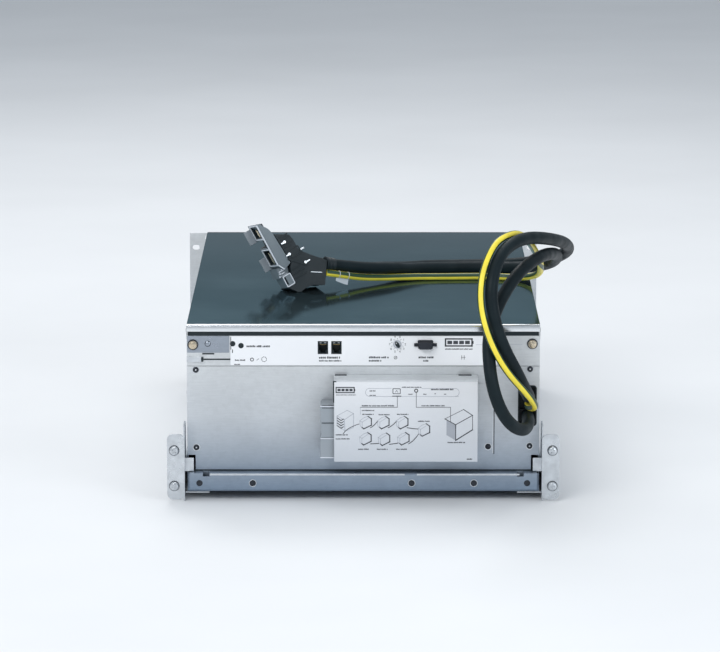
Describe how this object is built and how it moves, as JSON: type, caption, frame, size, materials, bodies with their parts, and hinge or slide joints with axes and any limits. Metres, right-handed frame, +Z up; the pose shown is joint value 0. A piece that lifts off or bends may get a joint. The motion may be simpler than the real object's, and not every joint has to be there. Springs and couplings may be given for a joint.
{
  "type": "rackmount ups chassis",
  "caption": "Rack-mount UPS battery chassis: steel case on telescoping rails, slide-out battery modules, rear interface panel, guarded connector and cables.",
  "frame": {"origin": "below the middle of the chassis, at the centre of its box, on the plane that the rails stand on", "axes": "+X to the right seen from behind, +Y towards the front bezel, +Z up"},
  "size_m": [0.5095, 0.8991, 0.3381],
  "materials": {
    "galvanised": "galvanised sheet with a soft spangle",
    "cover_steel": "smooth galvanised sheet, reflective",
    "bright_steel": "zinc plated, bright",
    "black_oxide": "dark screw head",
    "brass": "nickelled brass, knurled",
    "copper": "bare copper bar",
    "bezel_plastic": "fine texture",
    "black_plastic": "moulded, fine texture",
    "connector_grey": "moulded polycarbonate, satin",
    "circuit_board": "solder mask",
    "battery_case": "moulded case",
    "cable_jacket": "semi-matt jacket",
    "ground_jacket": "yellow with a green stripe",
    "printed_overlay": "white printed film",
    "print_ink": "dark grey print",
    "indicator_lens": "clear tinted lens"
  },
  "bodies": {
    "chassis": {"base_pan": "galvanised", "left_side_panel": "galvanised", "right_side_panel": "galvanised", "top_cover": "cover_steel", "rear_panel": "galvanised", "rear_tie_bar": "galvanised", "front_bezel": "bezel_plastic", "left_rack_ear": "galvanised", "right_rack_ear": "galvanised", "bay_divider_1": "galvanised", "bay_divider_2": "galvanised", "bay_divider_3": "galvanised", "electronics_shelf": "galvanised", "backplane_board": "circuit_board", "backplane_socket_1": "connector_grey", "backplane_socket_2": "connector_grey", "backplane_socket_3": "connector_grey", "backplane_socket_4": "connector_grey", "bus_bar_positive": "copper", "bus_bar_negative": "copper", "interface_panel": "galvanised", "interface_board": "circuit_board", "rj45_jack_1": "black_plastic", "rj45_jack_2": "black_plastic", "serial_port": "bright_steel", "connector_shroud": "galvanised", "power_receptacle": "connector_grey", "cable_clamp": "bright_steel", "left_rail_rear": "bright_steel", "right_rail_rear": "bright_steel", "power_cable_positive": "cable_jacket", "power_cable_negative": "cable_jacket", "ground_wire": "ground_jacket", "plug_housing": "connector_grey", "plug_backshell": "black_plastic", "rear_screw_1": "black_oxide", "rear_screw_2": "black_oxide", "rear_screw_3": "black_oxide", "rear_screw_4": "black_oxide"},
    "battery_module_1": {"module_1_tray": "galvanised", "module_1_cells": "battery_case", "module_1_fascia": "bezel_plastic"},
    "handle_1": {"module_1_handle": "black_plastic"},
    "battery_module_2": {"module_2_tray": "galvanised", "module_2_cells": "battery_case", "module_2_fascia": "bezel_plastic"},
    "handle_2": {"module_2_handle": "black_plastic"},
    "battery_module_3": {"module_3_tray": "galvanised", "module_3_cells": "battery_case", "module_3_fascia": "bezel_plastic"},
    "handle_3": {"module_3_handle": "black_plastic"},
    "battery_module_4": {"module_4_tray": "galvanised", "module_4_cells": "battery_case", "module_4_fascia": "bezel_plastic"},
    "handle_4": {"module_4_handle": "black_plastic"},
    "dial": {"id_dial": "black_plastic"},
    "captive_left": {"captive_screw_left": "brass"},
    "captive_right": {"captive_screw_right": "brass"},
    "left_front_rail": {"left_rail_front": "bright_steel"},
    "right_front_rail": {"right_rail_front": "bright_steel"}
  },
  "joints": [
    {"name": "module_1_slide", "type": "slide", "parent": "chassis", "child": "battery_module_1", "axis": [0, 1, 0], "range_m": [0, 0.56]},
    {"name": "handle_1_hinge", "type": "hinge", "parent": "battery_module_1", "child": "handle_1", "pos_m": [-0.1596, 0.4015, 0.13], "axis": [1, 0, 0], "range_deg": [0, 90]},
    {"name": "module_2_slide", "type": "slide", "parent": "chassis", "child": "battery_module_2", "axis": [0, 1, 0], "range_m": [0, 0.56]},
    {"name": "handle_2_hinge", "type": "hinge", "parent": "battery_module_2", "child": "handle_2", "pos_m": [-0.0532, 0.4015, 0.13], "axis": [1, 0, 0], "range_deg": [0, 90]},
    {"name": "module_3_slide", "type": "slide", "parent": "chassis", "child": "battery_module_3", "axis": [0, 1, 0], "range_m": [0, 0.56]},
    {"name": "handle_3_hinge", "type": "hinge", "parent": "battery_module_3", "child": "handle_3", "pos_m": [0.0532, 0.4015, 0.13], "axis": [1, 0, 0], "range_deg": [0, 90]},
    {"name": "module_4_slide", "type": "slide", "parent": "chassis", "child": "battery_module_4", "axis": [0, 1, 0], "range_m": [0, 0.56]},
    {"name": "handle_4_hinge", "type": "hinge", "parent": "battery_module_4", "child": "handle_4", "pos_m": [0.1596, 0.4015, 0.13], "axis": [1, 0, 0], "range_deg": [0, 90]},
    {"name": "dial_turn", "type": "hinge", "parent": "chassis", "child": "dial", "pos_m": [0.0419, -0.3685, 0.1928], "axis": [0, -1, 0], "continuous": true},
    {"name": "captive_left_turn", "type": "hinge", "parent": "chassis", "child": "captive_left", "pos_m": [-0.2093, -0.3685, 0.1924], "axis": [0, -1, 0], "continuous": true},
    {"name": "captive_right_turn", "type": "hinge", "parent": "chassis", "child": "captive_right", "pos_m": [0.2077, -0.3685, 0.1936], "axis": [0, -1, 0], "continuous": true},
    {"name": "left_rail_length", "type": "slide", "parent": "chassis", "child": "left_front_rail", "axis": [0, 1, 0], "range_m": [-0.08, 0]},
    {"name": "right_rail_length", "type": "slide", "parent": "chassis", "child": "right_front_rail", "axis": [0, 1, 0], "range_m": [-0.08, 0]}
  ]
}
